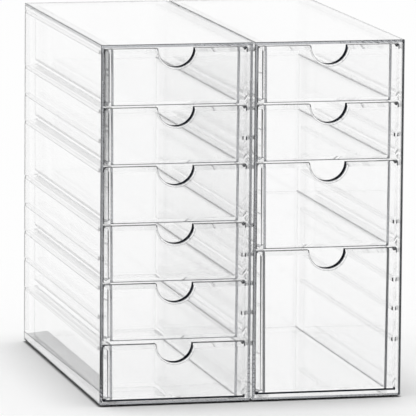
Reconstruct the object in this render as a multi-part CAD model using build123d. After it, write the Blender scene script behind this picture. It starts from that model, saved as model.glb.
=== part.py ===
from build123d import *
import os

# Craft stamp storage drawers: two clear moulded towers side by side, one with six shallow
# drawers and one with four drawers of three heights. All sizes are in millimetres.
# +Z is up, the drawers open towards -Y, and the origin is on the surface that the towers
# stand on, midway between them and midway from front to back.

# Towers
tower_width = 140.0
tower_depth = 356.0
tower_height = 330.0           # from the surface it stands on to the top face
tower_gap = 2.0                # the two towers stand apart by this much
left_units = (1.0, 1.0, 1.0, 1.0, 1.0, 1.0)    # drawer heights from the top, in units
right_units = (1.0, 1.0, 1.5, 2.5)
units_high = sum(left_units)   # a tower's inside holds this many units

# Shell
side_wall = 2.3
top_wall = 2.8
floor_wall = 2.2
back_wall = 2.3
shell_edge_chamfer = 0.5       # outer edges, broken by the mould

# Fronts
front_thickness = 9.5
front_setback = 0.5            # the fronts sit just inside the shell's front edge
front_side_clearance = 1.8     # beside a front, to the shell's side wall
front_gap = 2.2                # between one front and the next
top_clearance = 1.7            # from the shell's top wall down to the first front
floor_clearance = 0.4          # from the lowest front down to the shell's floor
lowest_drop = 1.9              # the lowest rail hangs this much under the even spacing
bevel_width = 3.8              # mitred bevel round the face
bevel_depth = 3.0

# Finger notch in each front's top edge
notch_width = 34.0
notch_depth = 17.0
notch_bevel_width = 2.0
notch_bevel_depth = 1.8

# Trays
tray_inset = 8.0               # from the shell's side wall in to the tray's side wall
tray_wall = 2.4
tray_floor = 2.2
tray_back_gap = 3.0            # from the tray's back to the shell's back wall
bond_line = 0.1                # cement between a tray's front end and its front
tray_draft = 0.5               # degrees that the walls lean in towards the floor
tray_outer_radius = 2.4
tray_inner_radius = 1.2
flange_thickness = 1.8         # rim that hangs on the rails
flange_side_clearance = 0.9    # from the flange's edge to the shell's side wall
flange_lead_in = 3.0           # corner cut off the flange's rear end

# Rails moulded on the shell's side walls
rail_levels = (0.0, 1.0, 1.5, 2.0, 3.0, 3.5, 4.0, 4.5, 5.0)    # units down from the first rim
rail_width = 4.0
rail_thickness = 3.0
rail_clearance = 0.2           # under a hanging flange
rail_stop_clearance = 0.2      # a shut front stands this far from the rails' front ends
rail_lead_in = 1.4             # ramp on the rail's front end

# Feet
foot_radius = 5.0
foot_height = 1.6
foot_inset = 14.0              # from the shell's sides to a foot's centre

# Worked out from the sizes above
front_y = -tower_depth / 2
inner_back_y = tower_depth / 2 - back_wall
inner_width = tower_width - 2 * side_wall
floor_top_z = foot_height + floor_wall
first_rim_z = tower_height - top_wall - top_clearance
unit_pitch = (first_rim_z - floor_top_z - floor_clearance - lowest_drop + front_gap) / units_high
front_width = inner_width - 2 * front_side_clearance
face_y = front_y + front_setback
front_back_y = face_y + front_thickness
tray_width = inner_width - 2 * tray_inset
tray_back_y = inner_back_y - tray_back_gap
tray_front_y = front_back_y + bond_line
tray_length = tray_back_y - tray_front_y
flange_half_span = inner_width / 2 - flange_side_clearance
rail_front_y = front_back_y + rail_stop_clearance
rail_length = inner_back_y - rail_front_y
notch_radius = (notch_width**2 / 4 + notch_depth**2) / (2 * notch_depth)
notch_rise = notch_radius - notch_depth    # the arc's centre lies this far over the edge
tower_centre_x = (tower_width + tower_gap) / 2
overcut = 5.0                  # how far a cutting solid runs past the face it opens


def rim_z(level):
    """Height of a drawer's top edge, level units down from the first one."""
    drop = lowest_drop if level >= units_high - 1.0 else 0.0
    return first_rim_z - level * unit_pitch - drop


def drawer_height(units):
    """Height of a front, and of the tray bonded behind it."""
    return units * unit_pitch - front_gap


def block(width, depth, height, x, y, z):
    """Box centred on x, running back from y and up from z."""
    return Pos(x, y, z) * Box(width, depth, height, align=(Align.CENTER, Align.MIN, Align.MIN))


def rail(side, level):
    """Ledge on one side wall (side is -1 or +1) that a tray's flange hangs on."""
    top = rim_z(level) - flange_thickness - rail_clearance
    # Rooted half-way into the wall, so that it fuses with it
    width = rail_width + side_wall / 2
    centre_x = side * (inner_width / 2 + side_wall / 2 - width / 2)
    bar = block(width, rail_length, rail_thickness, centre_x, rail_front_y, top - rail_thickness)
    front_edges = bar.edges().filter_by(Axis.X).group_by(Axis.Y)[0]
    return chamfer(front_edges.sort_by(Axis.Z)[-1], rail_lead_in)


def shell():
    """Open-fronted case with its rails, moulded in one."""
    outside = block(tower_width, tower_depth, tower_height - foot_height, 0, front_y, foot_height)
    outside = chamfer(outside.edges(), shell_edge_chamfer)
    room_height = tower_height - top_wall - floor_top_z
    room_depth = inner_back_y - front_y + overcut
    case = outside - block(inner_width, room_depth, room_height, 0, front_y - overcut, floor_top_z)
    rails = [rail(side, level) for side in (-1, 1) for level in rail_levels]
    return case.fuse(*rails)


def finger_notch():
    """Cutter for the half-round notch, with its bevelled rim on the face's side."""
    bore = Cylinder(notch_radius, 3 * front_thickness)
    rim = Cone(
        notch_radius + 2 * notch_bevel_width,
        notch_radius,
        2 * notch_bevel_depth,
        align=(Align.CENTER, Align.CENTER, Align.CENTER),
    )
    return Rot(-90, 0, 0) * (bore + rim)


def front(units):
    """Bevelled front, with its face at y = 0 and its top edge at z = 0."""
    height = drawer_height(units)
    panel = block(front_width, front_thickness, height, 0, 0, -height)
    face = panel.faces().sort_by(Axis.Y)[0]
    panel = chamfer(face.edges(), bevel_width, bevel_depth, reference=face)
    return panel - Pos(0, 0, notch_rise) * finger_notch()


def drafted_block(width, length, height, front_end):
    """Block hanging from z = 0 whose sides and back lean in downwards; its front is square."""
    solid = block(width, length - front_end, height, 0, front_end, -height)
    leaning = [solid.faces().sort_by(Axis.X)[0], solid.faces().sort_by(Axis.X)[-1]]
    leaning.append(solid.faces().sort_by(Axis.Y)[-1])
    return draft(leaning, Plane.XY, -tray_draft)


def floor_edges(solid):
    """The side and rear edges of a drafted block's floor."""
    return solid.edges().group_by(Axis.Z)[0].sort_by(Axis.Y)[1:]


def rear_corners(solid):
    """The two upright corners at a drafted block's rear."""
    rear_edges = solid.faces().sort_by(Axis.Y)[-1].edges().sort_by(Axis.X)
    return [rear_edges[0], rear_edges[-1]]


def flange(side):
    """Rim on one side of a tray, with its rear corner cut off to lead it onto the rail."""
    root_x = tray_width / 2 - tray_wall / 2
    span = flange_half_span - root_x
    length = tray_length - 2 * tray_outer_radius    # stops short of the rounded rear corner
    centre_x = side * (root_x + span / 2)
    bar = block(span, length, flange_thickness, centre_x, 0, -flange_thickness)
    upright_edges = bar.edges().filter_by(Axis.Z)
    outer_corner = upright_edges.sort_by(lambda edge: edge.center().Y + side * edge.center().X)[-1]
    return chamfer(outer_corner, flange_lead_in)


def tray(units):
    """Open tray with side flanges, its rim at z = 0 and its open front end at y = 0."""
    height = drawer_height(units)
    outside = drafted_block(tray_width, tray_length, height, 0)
    outside = fillet(floor_edges(outside) + rear_corners(outside), tray_outer_radius)
    room_width = tray_width - 2 * tray_wall
    inside = drafted_block(room_width, tray_length - tray_wall, height - tray_floor, -overcut)
    inside = fillet(floor_edges(inside), tray_inner_radius)
    return outside.fuse(flange(-1), flange(1)) - inside


def feet():
    """Four stick-on feet under one tower."""
    solids = []
    for side in (-1, 1):
        for end in (-1, 1):
            x = side * (tower_width / 2 - foot_inset)
            y = end * (tower_depth / 2 - foot_inset)
            solids.append(Pos(x, y, foot_height / 2) * Cylinder(foot_radius, foot_height))
    return Compound(children=solids)


def write(name, shape):
    export_step(shape, f"parts/{name}.step")


def write_tower(name, centre_x, drawer_units):
    """One tower: its shell, its feet, and a tray and a front for each drawer."""
    write(f"shell_{name}", Pos(centre_x, 0, 0) * tower_shell)
    write(f"feet_{name}", Pos(centre_x, 0, 0) * tower_feet)
    level = 0.0
    for number, units in enumerate(drawer_units, start=1):
        z = rim_z(level)
        write(f"{name}_tray_{number}", Pos(centre_x, tray_front_y, z) * trays[units])
        write(f"{name}_front_{number}", Pos(centre_x, face_y, z) * fronts[units])
        level += units


# Both towers come from the same moulds, and so do all drawers of one height
tower_shell = shell()
tower_feet = feet()
drawer_sizes = sorted(set(left_units + right_units))
trays = {units: tray(units) for units in drawer_sizes}
fronts = {units: front(units) for units in drawer_sizes}

os.makedirs("parts", exist_ok=True)
write_tower("left", -tower_centre_x, left_units)
write_tower("right", tower_centre_x, right_units)
print("unit pitch", round(unit_pitch, 2), "front width", round(front_width, 2))
print("tray", round(tray_width, 2), "x", round(tray_length, 2), "notch radius", round(notch_radius, 2))
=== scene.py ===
# %% [markdown]
# # Craft stamp storage drawers, seen as clear plastic
#
# Two clear moulded towers stand side by side, with six shallow drawers in one and four drawers of
# three heights in the other. The shapes come from the CAD model as a fixed frame, and this lesson
# gives them their looks: clear plastic, the feet, a white studio and the camera.
#
# Clear plastic is hard because it has no colour of its own. What the eye reads as a drawer is the
# room, bent and reflected by many parallel walls, and the cut edges that catch the dark. So the
# lesson spends its care on those walls and edges, and on where the light comes from.

import math

import bpy
from mathutils import Euler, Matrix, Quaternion, Vector


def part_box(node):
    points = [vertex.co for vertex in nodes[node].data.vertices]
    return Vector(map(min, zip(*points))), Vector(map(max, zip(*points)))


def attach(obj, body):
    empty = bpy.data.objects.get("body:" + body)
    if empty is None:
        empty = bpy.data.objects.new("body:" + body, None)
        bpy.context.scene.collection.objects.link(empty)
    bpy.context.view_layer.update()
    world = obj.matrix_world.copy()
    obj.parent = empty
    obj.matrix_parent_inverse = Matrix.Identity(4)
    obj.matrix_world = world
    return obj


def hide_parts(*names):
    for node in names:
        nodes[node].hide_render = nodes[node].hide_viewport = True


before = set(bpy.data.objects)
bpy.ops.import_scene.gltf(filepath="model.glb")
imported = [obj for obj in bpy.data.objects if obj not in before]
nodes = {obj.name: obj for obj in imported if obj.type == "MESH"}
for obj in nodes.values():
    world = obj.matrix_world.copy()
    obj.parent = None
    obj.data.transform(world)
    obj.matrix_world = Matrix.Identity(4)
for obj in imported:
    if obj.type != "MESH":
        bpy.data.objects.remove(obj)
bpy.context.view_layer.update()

# %% [markdown]
# ## Writing shader sums as plain sums
#
# A finish here is a chain of small sums, such as "one minus the mask". They could be built by hand
# from Math nodes, but three lines for each sum hide the idea. This class wraps a node's output, so
# that `1 - mask` in Python adds the Math node, and the recipe below makes every other node.

# %% The Signal class
class Signal:
    """A value that runs through a recipe's nodes, on which sums can be written."""

    def __init__(self, recipe, node, socket):
        self.recipe = recipe
        self.node = node
        self.socket = socket

    def __add__(self, other):
        return self.recipe.sum("ADD", self, other)

    def __sub__(self, other):
        return self.recipe.sum("SUBTRACT", self, other)

    def __rsub__(self, other):
        return self.recipe.sum("SUBTRACT", other, self)

    def __mul__(self, other):
        return self.recipe.sum("MULTIPLY", self, other)

    __radd__ = __add__
    __rmul__ = __mul__

    def __pow__(self, exponent):
        return self.recipe.sum("POWER", self, exponent)

    def __rpow__(self, base):
        return self.recipe.sum("POWER", base, self)

    def __abs__(self):
        return self.recipe.sum("ABSOLUTE", self)

    def at_least(self, other):
        return self.recipe.sum("MAXIMUM", self, other)

    def at_most(self, other):
        return self.recipe.sum("MINIMUM", self, other)

    def from_nearest(self, spacing):
        """Distance to the nearest multiple of spacing."""
        return self.recipe.sum("PINGPONG", self, spacing / 2)

    def other(self, name):
        """Another output of the same node."""
        return Signal(self.recipe, self.node, self.recipe.find(self.node.outputs, name))

    def rise(self, low, high):
        """0 below low, 1 above high, and a soft step between them."""
        sockets = {"Value": self, "From Min": low, "From Max": high}
        return self.recipe.add("ShaderNodeMapRange", {"interpolation_type": "SMOOTHSTEP"}, sockets)

    def below(self, level, edge):
        """1 below level, falling to 0 over the distance edge above it."""
        return 1 - self.rise(level, level + edge)

    def within(self, low, high, edge):
        """1 between low and high, falling to 0 over the distance edge outside them."""
        return self.rise(low - edge, low) * (1 - self.rise(high, high + edge))


print("sums on a Signal:", [name for name in vars(Signal) if name.startswith("__")][2:])

# %% The Recipe class
class Recipe:
    """The nodes of one finish, or of the world."""

    def __init__(self, owner):
        owner.use_nodes = True
        self.tree = owner.node_tree
        self.tree.nodes.clear()

    def find(self, sockets, name):
        """A socket by its identifier or, failing that, by its name."""
        by_identifier = [socket for socket in sockets if socket.identifier == name]
        by_name = [socket for socket in sockets if socket.name == name]
        return (by_identifier + by_name)[0]

    def add(self, kind, settings, sockets, output=None):
        """Makes a node: its settings first, then the values or the links of its sockets."""
        node = self.tree.nodes.new(kind)
        for name, setting in settings.items():
            setattr(node, name, setting)
        for name, value in sockets.items():
            socket = self.find(node.inputs, name)
            if isinstance(value, Signal):
                self.tree.links.new(value.socket, socket)
            else:
                socket.default_value = value
        if not node.outputs:
            return node
        return Signal(self, node, self.find(node.outputs, output) if output else node.outputs[0])

    def sum(self, operation, *values):
        """A Math node on one or two values."""
        names = ["Value", "Value_001"][: len(values)]
        return self.add("ShaderNodeMath", {"operation": operation}, dict(zip(names, values)))

    def split(self, vector):
        """The X, Y and Z of a vector."""
        x = self.add("ShaderNodeSeparateXYZ", {}, {"Vector": vector})
        return x, x.other("Y"), x.other("Z")

    def direction(self, towards):
        """A fixed direction, of length 1."""
        sockets = dict(zip("XYZ", Vector(towards).normalized()))
        return self.add("ShaderNodeCombineXYZ", {}, sockets)

    def colour_mix(self, factor, first, second, blend="MIX"):
        """A Mix node on two colours."""
        settings = {"data_type": "RGBA", "blend_type": blend}
        sockets = {"Factor_Float": factor, "A_Color": first, "B_Color": second}
        return self.add("ShaderNodeMix", settings, sockets, "Result_Color")

    def shader_mix(self, factor, first, second):
        """A Mix Shader node: first where factor is 0, and second where it is 1."""
        sockets = {"Fac": factor, "Shader": first, "Shader_001": second}
        return self.add("ShaderNodeMixShader", {}, sockets)


def grey(level):
    """A neutral colour for a colour socket."""
    return (level, level, level, 1.0)


print("a recipe makes its nodes by", [name for name in vars(Recipe) if not name.startswith("_")])

# %% [markdown]
# ## The clear plastic
#
# The towers and drawers are moulded in clear, hard plastic with a high polish. A Glass shader
# would show it, but the Principled shader with full transmission says the same and also exports.
# Three things keep it from looking like perfect glass:
#
# - Body colour. Light that runs along a wall for 30 cm comes out a little cooler and darker than
#   light that crosses it. A Volume Absorption shader does that by distance, as the plastic does.
# - Flow. The melt cools in long, shallow waves, so the bump is low, wide, and drawn out from front
#   to back, the way that the mould fills.
# - Handling. The polish is a little hazy along the crests of those waves, where a hand or a cloth
#   rubs it first, and the haze feeds the roughness.

# %% The plastic's numbers
plastic_ior = 1.50
body_density = 2.6                      # per metre
body_tint = (0.50, 0.52, 0.56, 1.0)     # a metre absorbs body_density times 1 minus this
flow_wave = 0.045                       # metres from one wave to the next, across the flow
flow_stretch = 0.3                      # the waves are this much slower along the flow
flow_height = 0.00001                   # metres from trough to crest
haze_begins = 0.5                       # of a wave's height
haze_full = 0.8
haze_roughness = 0.006                  # where the polish is dullest
straight_through = 0.993                # of the light that only passes by, at each surface
print("1 cm of plastic keeps", round(math.exp(-0.01 * body_density * (1 - body_tint[0])), 4), "of red")


# %% Flow waves and haze
def flow_waves(recipe, place):
    """Height of the long waves left by the melt, from 0 to 1."""
    axes = {"Vector": place, "Scale": (1.0, flow_stretch, 1.0)}
    drawn_out = recipe.add("ShaderNodeMapping", {}, axes)
    noise = {"Vector": drawn_out, "Scale": 1 / flow_wave, "Detail": 0.0}
    return recipe.add("ShaderNodeTexNoise", {}, noise)


def flow_bump(recipe, waves):
    """The waves as a normal."""
    sockets = {"Strength": 1.0, "Distance": flow_height, "Height": waves}
    return recipe.add("ShaderNodeBump", {}, sockets)


def haze(waves):
    """Roughness of the polish: none on most of it, a little along the waves' crests."""
    return waves.rise(haze_begins, haze_full) * haze_roughness


print("waves of", flow_wave * 1000, "mm, haze up to roughness", haze_roughness)

# %% [markdown]
# ## Cut edges
#
# A clear panel's edges look dark or even black, because light in them is trapped by total
# reflection and never reaches the eye from a bright place. A path tracer finds some of that by
# itself, but the studio here is white all round, so nothing dark is there to be trapped. The
# edges are therefore given painted shade, a dark flat finish, by a mask that says which faces are edges.
# A mask could be painted, but most edges name themselves by the way that they face, and the rest
# by their place on the piece. The places come from the frame, and the sizes of the moulded parts
# repeat those that the CAD model was built with.

# %% Where things are, from the frame
front_low, front_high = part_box("left_front_1")
next_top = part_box("left_front_2")[1].z
shell_low, shell_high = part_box("shell_left")
right_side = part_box("shell_right")[1].x
tray_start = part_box("left_tray_1")[0].y
tall_tray_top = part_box("right_tray_4")[1].z
left_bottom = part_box("left_front_6")[0].z       # the lowest fronts' bottom edges
right_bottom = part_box("right_front_4")[0].z
tower_centre = abs(front_low.x + front_high.x) / 2      # of each tower, from the middle
unit_pitch = front_high.z - next_top    # from one shallow drawer to the next
rail_start = front_high.y               # the rails begin just behind the fronts
print("rails begin at y", round(rail_start, 4), "and drawers repeat every", round(unit_pitch, 4))

# %% Sizes of the moulded parts
hairline = 0.0003                       # a moulded corner, which is never quite sharp
side_wall = 0.0023
rail_width = 0.004
rail_thickness = 0.003
rail_drop = 0.0020                      # from a drawer's top edge down to its rail
rail_face = (shell_high.x - shell_low.x) / 2 - side_wall - rail_width   # from the tower's centre
tray_floor = 0.0022
tray_inner_side = 0.0573                # a tray's inner walls, from its tower's centre
bevel_width = 0.0038                    # of the fronts' own bevels
notch_radius = 0.017
notch_bevel_width = 0.002
notch_bevel_depth = 0.0018
notch_bevel_slope = notch_bevel_width / math.hypot(notch_bevel_width, notch_bevel_depth)
print("a rail's inner face is", round(rail_face, 4), "from its tower's centre")
print("the notch's bevel leans back by", round(math.degrees(math.acos(notch_bevel_slope))), "degrees")

# %% [markdown]
# ## Reading a piece's surface
#
# Every mask below asks the same few things of a spot on a piece: where it is, how far it is from
# the middle of its own tower, and which way the surface faces there. Each mask could read them
# anew, but one small class reads them once for each material and names them in plain words.

# %% The Surface class
middle_edge = 0.001                     # metres, to either side of the line between the towers
square_from = 0.8                       # a normal's share on an axis, from which a face begins
square_full = 0.9                       # to count as square to it, and from which it counts in full


class Surface:
    """A spot on a piece, as Signals: its place, and the normal's share on each axis."""

    def __init__(self, recipe, place):
        self.x, self.y, self.z = recipe.split(place)
        self.across = abs(abs(self.x) - tower_centre)       # from its own tower's centre
        normal = recipe.add("ShaderNodeNewGeometry", {}, {}, "Normal")
        sideways, forwards, upwards = recipe.split(normal)
        self.sideways = abs(sideways)
        self.forwards = abs(forwards)
        self.upwards = abs(upwards)

    def in_right_tower(self):
        """1 in the right tower and 0 in the left one."""
        return self.x.rise(-middle_edge, middle_edge)

    def lowest_bottom(self):
        """The height of the lowest front's bottom edge, which differs from tower to tower."""
        return left_bottom + self.in_right_tower() * (right_bottom - left_bottom)


def square_on(share):
    """1 on the faces that are square to an axis, by the normal's share on it."""
    return share.rise(square_from, square_full)


print("a face square to an axis may lean", round(math.degrees(math.acos(square_full))), "degrees")

# %% [markdown]
# ## A front's edges
#
# A front is a thick bevelled panel with a half-round finger notch. The faces that run from its
# front to its back are its edges, so their normal has no Y in it: they get grey painted shade,
# and black painted shade in the notch, where the panel is cut. Two fine painted lines follow the
# notch's own bevel, and the lowest fronts have a black painted line along the bottom. The left
# bevels of the left tower's upper drawers get painted shade too, the more the higher they sit.

# %% Painted shade on a front
land_share = 0.15                       # the normal's share along Y, up to which a face is an edge
land_fade = 0.2
front_edge_painted_shade = 0.6
notch_painted_shade = 1.0
lowest_line = 0.0018                    # metres up the lowest fronts
lowest_line_painted_shade = 1.0
left_bevel_painted_shade = 0.45
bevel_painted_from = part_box("left_front_4")[0].z
bevel_painted_full = front_low.z
print("smoke on the lands", front_edge_painted_shade, "and in the notch", notch_painted_shade)

# %% Lines round the notch
notch_line_painted_shade = 0.7
outer_line_share = 0.5                  # the line on the face is this much of the inner one
slope_under = 0.02                      # the bevel takes in slopes this much under its own
slope_over = 0.01                       # and this much over it
slope_fade = 0.01


def notch_lines(spot):
    """The two corners of the notch's bevel, for painted shade, found by its slope and by how deep they
    lie.
    """
    on_bevel = spot.forwards.within(
        notch_bevel_slope - slope_under,
        notch_bevel_slope + slope_over,
        slope_fade,
    )
    into = spot.y - front_low.y
    inner = into.rise(notch_bevel_depth - 2 * hairline, notch_bevel_depth - hairline)
    outer = into.below(hairline, hairline) * outer_line_share
    return on_bevel * inner.at_least(outer)


print("smoke on the notch's lines", notch_line_painted_shade)


# %% All of a front's edges
def front_edges(spot):
    """Painted shade on a front's lands, its notch, the lines round it, the lowest line and the left
    bevels.
    """
    lands = spot.forwards.below(land_share, land_fade)
    bore = lands * spot.across.below(notch_radius, hairline)
    lowest = spot.z.below(spot.lowest_bottom() + lowest_line, hairline)
    left_bevel = spot.x.below(front_low.x + bevel_width, hairline)
    left_bevel = left_bevel * spot.z.rise(bevel_painted_from, bevel_painted_full)
    painted_shade = (lands * front_edge_painted_shade).at_least(bore * notch_painted_shade)
    painted_shade = painted_shade.at_least(left_bevel * left_bevel_painted_shade)
    painted_shade = painted_shade.at_least(notch_lines(spot) * notch_line_painted_shade)
    return painted_shade.at_least(lowest * lowest_line_painted_shade)


print("smoke on the upper left bevels, up to", left_bevel_painted_shade)

# %% [markdown]
# ## The shell's edges
#
# The rails show by black painted shade on their front ends, and by fine painted lines along their
# corners. The shell's outer corners have grey painted shade, and the right wall's front rim, which
# is seen end on, a darker painted shade. Low in the left wall, the paper's shadow is painted as a
# grey band with a thin line along its lower edge. The wall's foot has black painted shade, where it
# nearly touches the paper.

# %% Painted shade on the rails
rails_above = 0.01                      # metres over the shell's underside
rail_nose = 0.005                       # the dark first stretch of a rail
nose_lead = 0.001                       # and this much before it, to take in the end's own face
rail_fade = 0.0005
rail_side_fade = 0.0001                 # across a rail, where the shell's wall is close
rail_end_painted_shade = 1.0
rail_painted_shade = 0.05
rail_line_painted_shade = 0.35


def rail_edges(spot):
    """Painted shade on a rail's front end, its body, and the fine lines along its upper and lower
    corners.
    """
    on_rail = spot.across.within(rail_face - hairline, rail_face + rail_width - hairline, rail_side_fade)
    on_rail = on_rail * spot.z.within(shell_low.z + rails_above, front_high.z, rail_fade)
    nose = spot.y.within(rail_start - nose_lead, rail_start + rail_nose, rail_fade)
    from_top = (front_high.z - rail_drop) - spot.z
    upper = from_top.from_nearest(unit_pitch / 2)
    lower = (from_top - rail_thickness).from_nearest(unit_pitch / 2)
    lines = upper.at_most(lower).below(hairline, hairline) * square_on(spot.sideways)
    painted_shade = (nose * rail_end_painted_shade).at_least(lines * rail_line_painted_shade)
    return on_rail * painted_shade.at_least(rail_painted_shade)


print("a rail is black for", rail_nose * 1000, "mm")

# %% Painted shadow low in the left wall
base_line = 0.0012                      # metres up the wall
painted_foot_shade = 0.9
shade_line = 0.0144                     # height of the lowest tray's floor, as the wall shows it
line_fall = 0.0133                      # towards the back, per metre
painted_line_shadow = 0.55
shade_top = 0.0299                      # the wall is shaded up to here
rear_top = 0.0076                       # and only up to here at its rear edge
rear_fall = 0.193                       # towards the rear edge, per metre
painted_band_shadow = 0.27
painted_low_shadow = 0.10                 # under the line


def left_wall_shade(spot):
    """The dark of the paper, painted as a shadow low on the left wall, and black painted shade on its
    foot.
    """
    on_wall = square_on(spot.sideways) * spot.x.below(shell_low.x + hairline, hairline)
    over_line = spot.z + (spot.y - shell_low.y) * line_fall - shade_line
    under_rear_top = rear_top - spot.z + (shell_high.y - spot.y) * rear_fall
    shaded = (shade_top - spot.z).at_most(under_rear_top).rise(0.0, hairline)
    band = over_line.rise(0.0, hairline) * (painted_band_shadow - painted_low_shadow) + painted_low_shadow
    line = abs(over_line).below(hairline, hairline) * painted_line_shadow
    foot = spot.z.below(shell_low.z + base_line, hairline) * painted_foot_shade
    return on_wall * foot.at_least((shaded * band).at_least(line))


print("the left wall is shaded up to", round(shade_top * 1000), "mm")

# %% All of the shell's edges
corner_share = 0.8                      # no axis has more of a chamfered corner's normal
corner_fade = 0.1
corner_painted_shade = 0.3
right_rim_painted_shade = 0.75


def right_rim(spot):
    """The front rim of the right tower's right wall, for painted shade."""
    on_wall = spot.x.rise(right_side - side_wall - hairline, right_side - side_wall)
    return square_on(spot.forwards) * on_wall * spot.y.below(shell_low.y + hairline, hairline)


def shell_edges(spot):
    """Painted shade on the rails, the shell's outer corners, the left wall's low band and foot, and the
    right rim.
    """
    largest_share = spot.sideways.at_least(spot.forwards).at_least(spot.upwards)
    corners = largest_share.below(corner_share, corner_fade)
    painted_shade = rail_edges(spot).at_least(corners * corner_painted_shade)
    return painted_shade.at_least(left_wall_shade(spot)).at_least(right_rim(spot) * right_rim_painted_shade)


print("smoke on the shell's corners", corner_painted_shade, "and on the right rim", right_rim_painted_shade)

# %% [markdown]
# ## A tray's edges
#
# The rounded corner between a tray's floor and its walls bends light away from the eye, so it
# is painted as one thin line of shade that runs back into the drawer. The lowest trays' floors
# have black painted shade on their front ends, and the tallest tray's whole front end has grey
# painted shade.

# %% Painted shade on a tray
round_from = 0.5                        # the normal's share sideways, on a rounded corner
round_to = 0.87
round_fade = 0.05
round_up_from = 0.4                     # and its share upwards
round_up_full = 0.5
tray_corner_painted_shade = 0.5
end_depth = 0.0005                      # metres into the tray
tray_end_painted_shade = 0.9
tall_tray_end_painted_shade = 0.6


def tray_edges(spot):
    """Painted shade on the rounded corners of a tray's floor, and on the front ends of the lowest trays
    and the tallest one.
    """
    rounded = spot.sideways.within(round_from, round_to, round_fade)
    rounded = rounded * spot.upwards.rise(round_up_from, round_up_full)
    corner = rounded * spot.across.below(tray_inner_side, hairline)
    front_end = square_on(spot.forwards) * spot.y.below(tray_start + end_depth, end_depth)
    floor_end = spot.z.below(spot.lowest_bottom() + tray_floor, hairline)
    tallest = spot.in_right_tower() * spot.z.below(tall_tray_top, hairline)
    ends = (floor_end * tray_end_painted_shade).at_least(tallest * tall_tray_end_painted_shade)
    return (front_end * ends).at_least(corner * tray_corner_painted_shade)


print("smoke on a tray's corners", tray_corner_painted_shade)

# %% [markdown]
# ## Putting the plastic together
#
# Light from the studio must cross dozens of walls to reach the floor under the towers. Path
# tracing that through real refraction is slow and noisy, so rays that only carry light to a
# surface pass almost straight through, by Light Path, while everything the camera sees is bent
# and reflected in full. A little is lost at each surface, which leaves a soft shadow.

# %% The plastic as a material
# painted shade: a near-black flat colour, mixed in where the edge masks say, for the dark of trapped
# light
painted_shade_colour = (0.010, 0.012, 0.016, 1.0)


def clear_plastic(name, edges):
    """Clear moulded plastic, with painted shade where edges says."""
    material = bpy.data.materials.new(name)
    recipe = Recipe(material)
    place = recipe.add("ShaderNodeTexCoord", {}, {}, "Object")
    waves = flow_waves(recipe, place)
    polish = {
        "Base Color": grey(1.0),
        "Roughness": haze(waves),
        "IOR": plastic_ior,
        "Transmission Weight": 1.0,
        "Normal": flow_bump(recipe, waves),
    }
    body = recipe.add("ShaderNodeBsdfPrincipled", {}, polish)
    painted_shade = recipe.add("ShaderNodeBsdfDiffuse", {}, {"Color": painted_shade_colour})
    seen = recipe.shader_mix(edges(Surface(recipe, place)), body, painted_shade)
    passing = recipe.add("ShaderNodeBsdfTransparent", {}, {"Color": grey(straight_through)})
    path = recipe.add("ShaderNodeLightPath", {}, {}, "Is Shadow Ray")
    carries_light = path.at_least(path.other("Is Diffuse Ray"))
    surface = recipe.shader_mix(carries_light, seen, passing)
    volume = {"Color": body_tint, "Density": body_density}
    inside = recipe.add("ShaderNodeVolumeAbsorption", {}, volume)
    recipe.add("ShaderNodeOutputMaterial", {}, {"Surface": surface, "Volume": inside})
    return material


plastics = {
    "shell": clear_plastic("clear_shell", shell_edges),
    "tray": clear_plastic("clear_tray", tray_edges),
    "front": clear_plastic("clear_front", front_edges),
}
print("made", [plastic.name for plastic in plastics.values()])

# %% Dress the CAD pieces
for kind, plastic in plastics.items():
    pieces = [piece for name, piece in nodes.items() if kind in name]
    for piece in pieces:
        piece.data.materials.clear()
        piece.data.materials.append(plastic)
    print("dressed", len(pieces), "pieces in", plastic.name)

# %% [markdown]
# ## The feet
#
# Each tower stands on four small stick-on pads of soft, milky rubber, which keep it from sliding.
# A pad is a low drum, narrower where it meets the table. They could be four copies of one modelled
# pad. Geometry Nodes make them here, because their places follow a rule: one at each corner of
# a rectangle. The tree takes the rectangle and the pad's sizes as inputs, so that both towers use
# it, and ends in real, joined geometry.

# %% The PadTree class
class PadTree:
    """A Geometry Nodes tree, built node by node."""

    def __init__(self, name, inputs):
        self.tree = bpy.data.node_groups.new(name, "GeometryNodeTree")
        sockets = self.tree.interface
        sockets.new_socket("Geometry", in_out="OUTPUT", socket_type="NodeSocketGeometry")
        for label, kind in inputs.items():
            sockets.new_socket(label, in_out="INPUT", socket_type=kind)
        self.inputs = self.tree.nodes.new("NodeGroupInput").outputs

    def add(self, kind, settings, sockets):
        """Makes a node, and gives its first output."""
        node = self.tree.nodes.new(kind)
        for name, setting in settings.items():
            setattr(node, name, setting)
        for key, value in sockets.items():
            if isinstance(value, bpy.types.NodeSocket):
                self.tree.links.new(value, node.inputs[key])
            else:
                node.inputs[key].default_value = value
        return node.outputs[0] if node.outputs else node

    def sum(self, operation, first, second):
        """A Math node on two values."""
        return self.add("ShaderNodeMath", {"operation": operation}, {0: first, 1: second})


pad_inputs = {
    "Across": "NodeSocketFloat",
    "Along": "NodeSocketFloat",
    "Radius": "NodeSocketFloat",
    "Height": "NodeSocketFloat",
    "Taper": "NodeSocketFloat",
    "Centre": "NodeSocketVector",
    "Finish": "NodeSocketMaterial",
}
print("the pads' tree takes", list(pad_inputs))

# %% One pad
pad_radius = 0.005
pad_sides = 32
pad_rings = 6
pad_taper = 0.22                        # how much narrower the pad is where it stands
taper_curve = 2.0                       # over 1, so most of the taper is low on the pad


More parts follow.
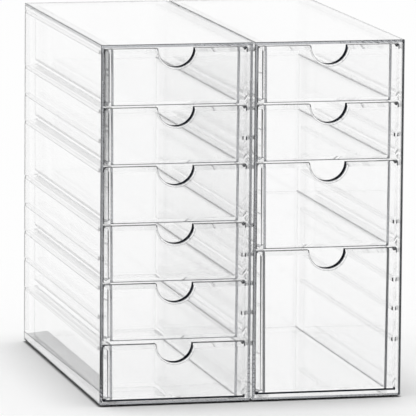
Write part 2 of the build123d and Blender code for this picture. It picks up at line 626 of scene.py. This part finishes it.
def tapered_pad(tree):
    """One pad, standing on z = 0 and narrower there."""
    sizes = {"Vertices": pad_sides, "Side Segments": pad_rings, "Radius": tree.inputs["Radius"]}
    sizes["Depth"] = tree.inputs["Height"]
    drum = tree.add("GeometryNodeMeshCylinder", {"fill_type": "NGON"}, sizes)
    half = tree.sum("MULTIPLY", tree.inputs["Height"], 0.5)
    lift = tree.add("ShaderNodeCombineXYZ", {}, {"Z": half})
    drum = tree.add("GeometryNodeTransform", {}, {"Geometry": drum, "Translation": lift})
    spot = tree.add("GeometryNodeInputPosition", {}, {})
    height = tree.add("ShaderNodeSeparateXYZ", {}, {0: spot}).node.outputs["Z"]
    lowness = tree.sum("SUBTRACT", 1.0, tree.sum("DIVIDE", height, tree.inputs["Height"]))
    drawn_in = tree.sum("MULTIPLY", tree.sum("POWER", lowness, taper_curve), tree.inputs["Taper"])
    width = tree.sum("SUBTRACT", 1.0, drawn_in)
    scale = tree.add("ShaderNodeCombineXYZ", {}, {"X": width, "Y": width, "Z": 1.0})
    moved = tree.add("ShaderNodeVectorMath", {"operation": "MULTIPLY"}, {0: spot, 1: scale})
    return tree.add("GeometryNodeSetPosition", {}, {"Geometry": drum, "Position": moved})


print("a pad has", pad_sides, "sides and", pad_rings, "rings")


# %% Four pads on a rectangle
def pads_on_rectangle():
    """The tree that stands a pad on each corner of a rectangle."""
    tree = PadTree("pads", pad_inputs)
    rectangle = {"Size X": tree.inputs["Across"], "Size Y": tree.inputs["Along"]}
    corners = tree.add("GeometryNodeMeshGrid", {}, rectangle | {"Vertices X": 2, "Vertices Y": 2})
    copies = {"Points": corners, "Instance": tapered_pad(tree)}
    pads = tree.add("GeometryNodeInstanceOnPoints", {}, copies)
    centred = {"Geometry": pads, "Translation": tree.inputs["Centre"]}
    pads = tree.add("GeometryNodeTransform", {}, centred)
    pads = tree.add("GeometryNodeRealizeInstances", {}, {"Geometry": pads})
    finished = {"Geometry": pads, "Material": tree.inputs["Finish"]}
    pads = tree.add("GeometryNodeSetMaterial", {}, finished)
    tree.add("NodeGroupOutput", {}, {"Geometry": pads})
    return tree.tree


pads_tree = pads_on_rectangle()
print("the pads' tree has", len(pads_tree.nodes), "nodes")

# %% The rubber
rubber_ior = 1.48
rubber_white = 0.62                     # how pale clean rubber is
rubber_roughness = 0.35
dust_white = 0.80
dust_roughness = 0.3                    # more than the rubber's own
dust_specks = 900.0                     # per metre
dust_detail = 2.0
dust_begins = 0.4                       # of the noise's height
dust_full = 0.7


def soft_rubber():
    """Soft, milky rubber, paler and duller where dust has bloomed on it."""
    material = bpy.data.materials.new("soft_rubber")
    recipe = Recipe(material)
    place = recipe.add("ShaderNodeTexCoord", {}, {}, "Object")
    noise = {"Vector": place, "Scale": dust_specks, "Detail": dust_detail}
    dust = recipe.add("ShaderNodeTexNoise", {}, noise).rise(dust_begins, dust_full)
    surface = recipe.add("ShaderNodeBsdfPrincipled", {}, {
        "Base Color": recipe.colour_mix(dust, grey(rubber_white), grey(dust_white)),
        "Roughness": rubber_roughness + dust * dust_roughness,
        "IOR": rubber_ior,
    })
    recipe.add("ShaderNodeOutputMaterial", {}, {"Surface": surface})
    return material


rubber = soft_rubber()
print("made", rubber.name)


# %% Stand the towers on their pads
def make_pads(name, node):
    """The four pads of one tower, in place of the CAD model's plain feet."""
    low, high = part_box(node)
    size = high - low
    values = {
        "Across": size.x - 2 * pad_radius,
        "Along": size.y - 2 * pad_radius,
        "Radius": pad_radius,
        "Height": size.z,
        "Taper": pad_taper,
        "Centre": ((low.x + high.x) / 2, (low.y + high.y) / 2, low.z),
        "Finish": rubber,
    }
    carrier = bpy.data.objects.new(name, bpy.data.meshes.new(name))
    bpy.context.scene.collection.objects.link(carrier)
    maker = carrier.modifiers.new("pads", "NODES")
    maker.node_group = pads_tree
    for item in pads_tree.interface.items_tree:
        if item.in_out == "INPUT":
            maker[item.identifier] = values[item.name]
    made = carrier.evaluated_get(bpy.context.evaluated_depsgraph_get())
    mesh = bpy.data.meshes.new_from_object(made)
    carrier.modifiers.remove(maker)
    carrier.data = mesh
    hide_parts(node)
    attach(carrier, "towers")
    return carrier


for side in ("left", "right"):
    foot_pads = make_pads(f"foot_pads_{side}", f"feet_{side}")
    print(foot_pads.name, "has", len(foot_pads.data.polygons), "faces")

# %% [markdown]
# ## The floor
#
# The towers stand on white paper. Its shadow has three parts: a soft one all round, the black
# crevice where the towers nearly touch the paper, and a long, faint one in front. They could be
# left to the light, but clear plastic hardly shades anything. Ambient Occlusion darkens the paper
# by how much of the sky is walled off nearby, and only for what the camera sees directly, so that
# the plastic itself stays bright. The long shadow asks only for the sky behind the towers.

# %% The paper's numbers
paper_side = 20.0                       # metres
paper_white = 0.99                      # of the light, thrown back
shadow_reach = 0.06                     # metres over which the soft shadow fades
shadow_depth = 0.45                     # 1 would be as dark as a shadow of something solid
crevice_reach = 0.003
crevice_depth = 2.5
back_reach = 0.16                       # the painted shadow in front reaches further, as if lit from behind
back_depth = 0.2
from_behind = (-0.2, 0.8, 0.55)
shade_samples = 8
kept_inside = 0.975                     # of the light, at each reflection inside the plastic
print("the soft shadow fades over", shadow_reach * 1000, "mm")


# %% The paper
def light_left(path):
    """What is left of the light after its reflections inside the plastic."""
    return kept_inside ** (path.other("Glossy Depth") - 1).at_least(0.0)


def open_sky(recipe, sockets):
    """How much of the sky is free of anything near, from 0 to 1."""
    return recipe.add("ShaderNodeAmbientOcclusion", {"samples": shade_samples}, sockets, "AO")


def white_paper():
    """Paper that is white far off, and shaded round and under the towers."""
    material = bpy.data.materials.new("white_paper")
    recipe = Recipe(material)
    path = recipe.add("ShaderNodeLightPath", {}, {}, "Is Camera Ray")
    lit = recipe.colour_mix(light_left(path), grey(0.0), grey(paper_white))
    soft = open_sky(recipe, {"Distance": shadow_reach}) ** shadow_depth
    crevice = open_sky(recipe, {"Distance": crevice_reach}) ** crevice_depth
    behind = {"Distance": back_reach, "Normal": recipe.direction(from_behind)}
    unshaded = soft * crevice * open_sky(recipe, behind) ** back_depth
    shade = recipe.colour_mix(path * (1 - unshaded), grey(1.0), grey(0.0))
    colour = recipe.colour_mix(1.0, lit, shade, "MULTIPLY")
    surface = recipe.add("ShaderNodeBsdfDiffuse", {}, {"Color": colour})
    recipe.add("ShaderNodeOutputMaterial", {}, {"Surface": surface})
    return material


bpy.ops.mesh.primitive_plane_add(size=paper_side)
floor = bpy.context.object
floor.name = "paper_floor"
floor.data.materials.append(white_paper())
print("the floor is at z", floor.location.z)

# %% [markdown]
# ## The studio
#
# A white room on every side lights the object evenly, which is how such a picture is made: a tent
# of white cloth. Lamps would make small bright marks in every wall, and the photographed object
# has none. The world is white at strength 1, so that a colour renders as it is written.

# %% The white room
def white_room():
    """A world of one white, which reflections inside the plastic dim a little."""
    world = bpy.data.worlds.new("white_room")
    recipe = Recipe(world)
    path = recipe.add("ShaderNodeLightPath", {}, {}, "Is Camera Ray")
    direct = path.at_least(path.other("Is Diffuse Ray"))
    strength = direct + (1 - direct) * light_left(path)
    sky = recipe.add("ShaderNodeBackground", {}, {"Color": grey(1.0), "Strength": strength})
    recipe.add("ShaderNodeOutputWorld", {}, {"Surface": sky})
    return world


bpy.context.scene.world = white_room()
bpy.context.scene.view_settings.view_transform = "Standard"
print("the world is", bpy.context.scene.world.name)

# %% How far light is followed
light_bounces = 64                      # a ray crosses every drawer's walls on its way through
cycles = bpy.context.scene.cycles
cycles.max_bounces = light_bounces
cycles.transmission_bounces = light_bounces
cycles.glossy_bounces = light_bounces
cycles.transparent_max_bounces = light_bounces
print("light is followed for", light_bounces, "bounces")

# %% [markdown]
# ## The camera
#
# The camera stands a long way off with a long lens, a little to the left and a little above, so
# that the fronts are nearly square to it and the left wall and the top just show. The numbers are
# an orbit about a point on the object, which keeps the angle readable.

# %% Where the camera stands
camera_azimuth = math.radians(13.134)
camera_elevation = math.radians(8.410)
camera_roll = math.radians(0.443)
camera_distance = 4.9629
camera_aim = Vector((-0.00007, 0.0, 0.15286))
picture_side = 416                      # pixels
focal_pixels = 5279.8
sensor = 36.0                           # mm
view_limit = 100.0                      # metres
print("the camera stands", camera_distance, "m off")

# %% The camera
level_share = math.cos(camera_elevation)
gaze = Vector((
    math.sin(camera_azimuth) * level_share,
    math.cos(camera_azimuth) * level_share,
    -math.sin(camera_elevation),
))
camera = bpy.data.objects.new("camera", bpy.data.cameras.new("camera"))
bpy.context.scene.collection.objects.link(camera)
camera.location = camera_aim - gaze * camera_distance
camera.rotation_mode = "QUATERNION"
unrolled = Euler((math.pi / 2 - camera_elevation, 0.0, -camera_azimuth)).to_quaternion()
camera.rotation_quaternion = unrolled @ Quaternion((0.0, 0.0, 1.0), camera_roll)
camera.data.sensor_width = sensor
camera.data.lens = focal_pixels / picture_side * sensor
camera.data.clip_end = view_limit
bpy.context.scene.camera = camera
print("a", round(camera.data.lens), "mm lens at", [round(a, 3) for a in camera.location])
